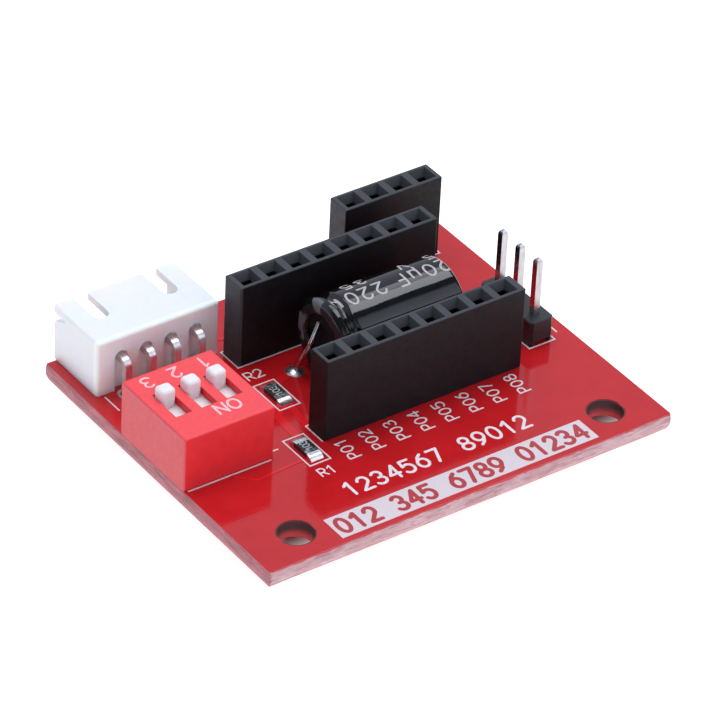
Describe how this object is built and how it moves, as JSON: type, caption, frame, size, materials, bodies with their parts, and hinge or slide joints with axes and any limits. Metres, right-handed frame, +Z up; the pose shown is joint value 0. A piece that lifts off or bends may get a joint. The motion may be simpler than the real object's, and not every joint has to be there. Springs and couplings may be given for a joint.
{
  "type": "stepper driver module",
  "caption": "Red carrier board for a plug-in stepper driver: sockets, shrouded motor connector, slide DIP switch, signal header, lying capacitor and chip resistors.",
  "frame": {"origin": "centre of the circuit board's flat underside, the face that standoffs touch", "axes": "+X along the board's long side, from the DIP switch to the signal header; +Y towards the edge where the motor plug goes in; +Z up, through the components"},
  "size_m": [0.0414, 0.0347, 0.0114],
  "materials": {
    "board_red": "glossy red solder mask over pale glass-fibre laminate",
    "socket_black": "satin moulded black plastic",
    "contact_tin": "tin plated",
    "pin_tin": "bright tin plated",
    "contact_brass": "gold flashed",
    "solder": "bright solder",
    "connector_white": "semi-gloss natural white nylon",
    "switch_red": "satin red moulding",
    "switch_base_black": "matt black moulding",
    "slider_white": "semi-gloss white moulding",
    "can_aluminium": "drawn",
    "sleeve_black": "glossy heat-shrunk sleeve with pale printing",
    "bung_rubber": "matt",
    "winding_foil": "paper and foil winding",
    "chip_black": "dark glazed overcoat",
    "chip_tin": "tin plated",
    "marking_white": "printed ink"
  },
  "bodies": {
    "module": {"circuit_board": "board_red", "driver_socket_front_housing": "socket_black", "driver_socket_front_contacts": "contact_tin", "driver_socket_rear_housing": "socket_black", "driver_socket_rear_contacts": "contact_tin", "control_socket_housing": "socket_black", "control_socket_contacts": "contact_tin", "socket_solder": "solder", "signal_header_insulator": "socket_black", "signal_header_pins": "pin_tin", "signal_header_solder": "solder", "motor_connector_housing": "connector_white", "motor_connector_pins": "pin_tin", "motor_connector_solder": "solder", "dip_switch_cover": "switch_red", "dip_switch_base": "switch_base_black", "dip_switch_terminals": "contact_brass", "dip_switch_solder": "solder", "capacitor_can": "can_aluminium", "capacitor_sleeve": "sleeve_black", "capacitor_bung": "bung_rubber", "capacitor_winding": "winding_foil", "capacitor_leads": "pin_tin", "capacitor_solder": "solder", "resistor_1_body": "chip_black", "resistor_1_end_caps": "chip_tin", "resistor_2_body": "chip_black", "resistor_2_end_caps": "chip_tin", "resistor_solder": "solder"},
    "slider_1": {"dip_slider_1": "slider_white", "dip_wiper_1": "contact_brass"},
    "slider_2": {"dip_slider_2": "slider_white", "dip_wiper_2": "contact_brass"},
    "slider_3": {"dip_slider_3": "slider_white", "dip_wiper_3": "contact_brass"}
  },
  "joints": [
    {"name": "dip_slide_1", "type": "slide", "parent": "module", "child": "slider_1", "axis": [0, -1, 0], "range_m": [0, 0.0022]},
    {"name": "dip_slide_2", "type": "slide", "parent": "module", "child": "slider_2", "axis": [0, -1, 0], "range_m": [0, 0.0022]},
    {"name": "dip_slide_3", "type": "slide", "parent": "module", "child": "slider_3", "axis": [0, -1, 0], "range_m": [0, 0.0022]}
  ]
}
